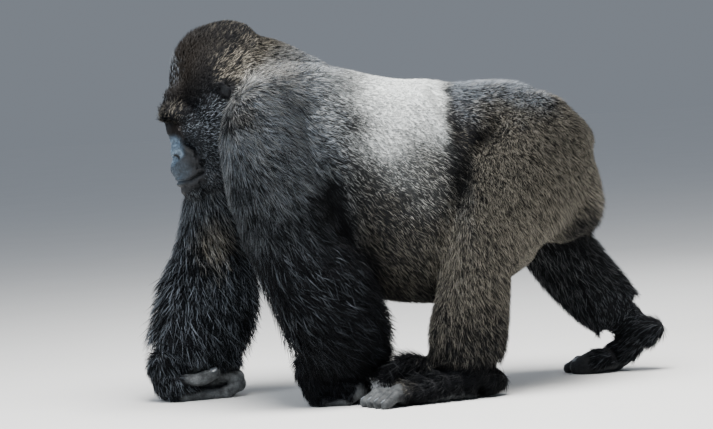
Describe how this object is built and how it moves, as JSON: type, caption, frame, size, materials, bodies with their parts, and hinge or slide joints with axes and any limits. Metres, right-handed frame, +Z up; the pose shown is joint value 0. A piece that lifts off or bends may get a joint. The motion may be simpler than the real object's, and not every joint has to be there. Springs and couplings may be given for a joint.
{
  "type": "gorilla",
  "caption": "Life-size model of an adult male silverback gorilla walking on its knuckles, one arm ahead and one leg pushing off behind.",
  "frame": {"origin": "on the floor under the middle of the animal's bounding box", "axes": "+X from the nose to the rump, +Y to the animal's right, +Z up"},
  "size_m": [1.4432, 0.7388, 1.0574],
  "materials": {
    "black": "long black fur with a bluish sheen",
    "brown": "short brown-black fur",
    "silver": "short silver fur",
    "grizzled": "grizzled grey-brown fur",
    "skin": "bare slate-grey skin, creased",
    "eye": "moist dark brown"
  },
  "bodies": {
    "root": {"head": "brown", "neck": "grizzled", "chest": "grizzled", "belly": "silver", "rump": "grizzled", "ear_left": "skin", "ear_right": "skin", "eye_left": "eye", "eye_right": "eye", "upper_arm_left": "black", "upper_arm_right": "black", "forearm_left": "black", "forearm_right": "black", "hand_left": "skin", "hand_right": "skin", "thigh_left": "grizzled", "thigh_right": "grizzled", "shin_left": "grizzled", "shin_right": "grizzled", "foot_left": "skin", "foot_right": "skin"}
  },
  "joints": []
}
